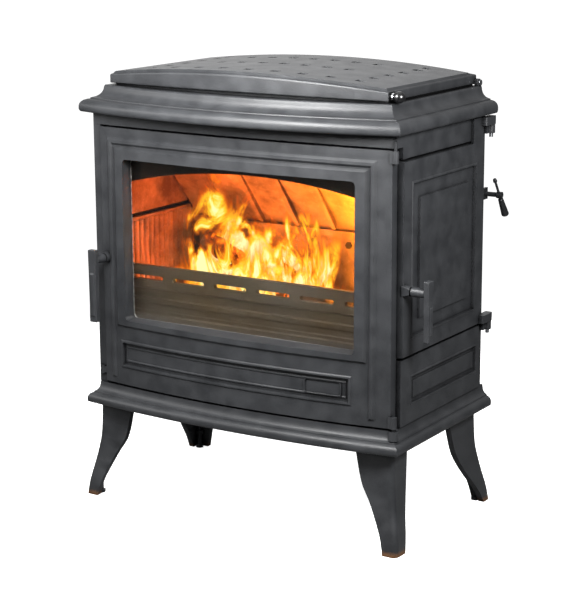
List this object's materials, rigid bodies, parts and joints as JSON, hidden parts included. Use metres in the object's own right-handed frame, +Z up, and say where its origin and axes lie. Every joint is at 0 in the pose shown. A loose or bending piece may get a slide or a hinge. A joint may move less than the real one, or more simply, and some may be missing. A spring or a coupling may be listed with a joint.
{
  "type": "wood burning stove",
  "caption": "Cast iron wood burning stove on cabriole legs, with a bowed glass front door, a side loading door and an arched pierced lid.",
  "frame": {"origin": "on the floor, under the middle of the casing", "axes": "+X towards the side loading door, -Y towards the glass front door, +Z up"},
  "size_m": [0.788, 0.5234, 0.9097],
  "materials": {
    "cast_iron_paint": "matt",
    "bare_cast_iron": "rough",
    "steel_sheet": "matt",
    "black_steel": "satin",
    "zinc_steel": "satin",
    "bright_steel": "satin",
    "bakelite": "gloss",
    "rope_seal": "matt",
    "ceramic_glass": "clear"
  },
  "bodies": {
    "casing": {"air_deflector": "steel_sheet", "ash_box": "steel_sheet", "ash_pan": "steel_sheet", "back_panel": "cast_iron_paint", "baffle_bar": "steel_sheet", "baffle_plate": "bare_cast_iron", "base_plate": "cast_iron_paint", "damper_bracket": "steel_sheet", "fire_grate": "bare_cast_iron", "flue_bolts": "zinc_steel", "flue_collar": "cast_iron_paint", "flue_gasket": "rope_seal", "front_door_pins": "bright_steel", "front_frame": "cast_iron_paint", "hearth_plate": "bare_cast_iron", "hotplate": "cast_iron_paint", "latch_keepers": "steel_sheet", "left_side_liner": "bare_cast_iron", "left_side_panel": "cast_iron_paint", "leg_bolts": "zinc_steel", "leg_front_left": "cast_iron_paint", "leg_front_right": "cast_iron_paint", "leg_rear_left": "cast_iron_paint", "leg_rear_right": "cast_iron_paint", "levelling_bolts": "zinc_steel", "levelling_nuts": "zinc_steel", "lid_hinge_pins": "bright_steel", "log_guard": "bare_cast_iron", "rear_liner": "bare_cast_iron", "rear_liner_bolts": "zinc_steel", "right_lower_panel": "cast_iron_paint", "right_side_frame": "cast_iron_paint", "shutter_rails": "steel_sheet", "side_door_pins": "bright_steel", "top_moulding": "cast_iron_paint"},
    "front_door": {"front_door_frame": "cast_iron_paint", "door_glass": "ceramic_glass", "glass_gasket": "rope_seal", "glass_clips": "steel_sheet", "glass_clip_screws": "zinc_steel", "front_door_rope": "rope_seal", "door_plate": "cast_iron_paint"},
    "front_handle": {"front_handle_grip": "black_steel", "front_handle_spindle": "black_steel"},
    "side_door": {"side_door_panel": "cast_iron_paint", "side_door_rope": "rope_seal", "side_door_liner": "steel_sheet"},
    "side_handle": {"side_handle_grip": "black_steel", "side_handle_spindle": "black_steel"},
    "lid": {"top_lid": "cast_iron_paint", "lid_knob": "bakelite", "lid_knob_stem": "bright_steel"},
    "damper": {"damper_shaft": "black_steel", "damper_plate": "steel_sheet", "damper_lever": "black_steel", "damper_grip": "black_steel"},
    "air_control": {"air_shutter": "steel_sheet", "air_shutter_knob": "bakelite"}
  },
  "joints": [
    {"name": "front_door_hinge", "type": "hinge", "parent": "casing", "child": "front_door", "pos_m": [0.3505, -0.1855, 0.5], "axis": [0, 0, 1], "range_deg": [0, 115]},
    {"name": "front_handle_turn", "type": "hinge", "parent": "front_door", "child": "front_handle", "pos_m": [-0.32, -0.1875, 0.513], "axis": [0, -1, 0], "range_deg": [0, 75]},
    {"name": "side_door_hinge", "type": "hinge", "parent": "casing", "child": "side_door", "pos_m": [0.36, 0.196, 0.57], "axis": [0, 0, 1], "range_deg": [0, 110]},
    {"name": "side_handle_turn", "type": "hinge", "parent": "side_door", "child": "side_handle", "pos_m": [0.357, -0.157, 0.513], "axis": [1, 0, 0], "range_deg": [0, 75]},
    {"name": "lid_hinge", "type": "hinge", "parent": "casing", "child": "lid", "pos_m": [0, 0.2, 0.8697], "axis": [-1, 0, 0], "range_deg": [0, 80]},
    {"name": "damper_turn", "type": "hinge", "parent": "casing", "child": "damper", "pos_m": [0, 0.228, 0.64], "axis": [1, 0, 0], "range_deg": [-34, 56]},
    {"name": "air_shutter_slide", "type": "slide", "parent": "casing", "child": "air_control", "axis": [-1, 0, 0], "range_m": [0, 0.03]}
  ]
}
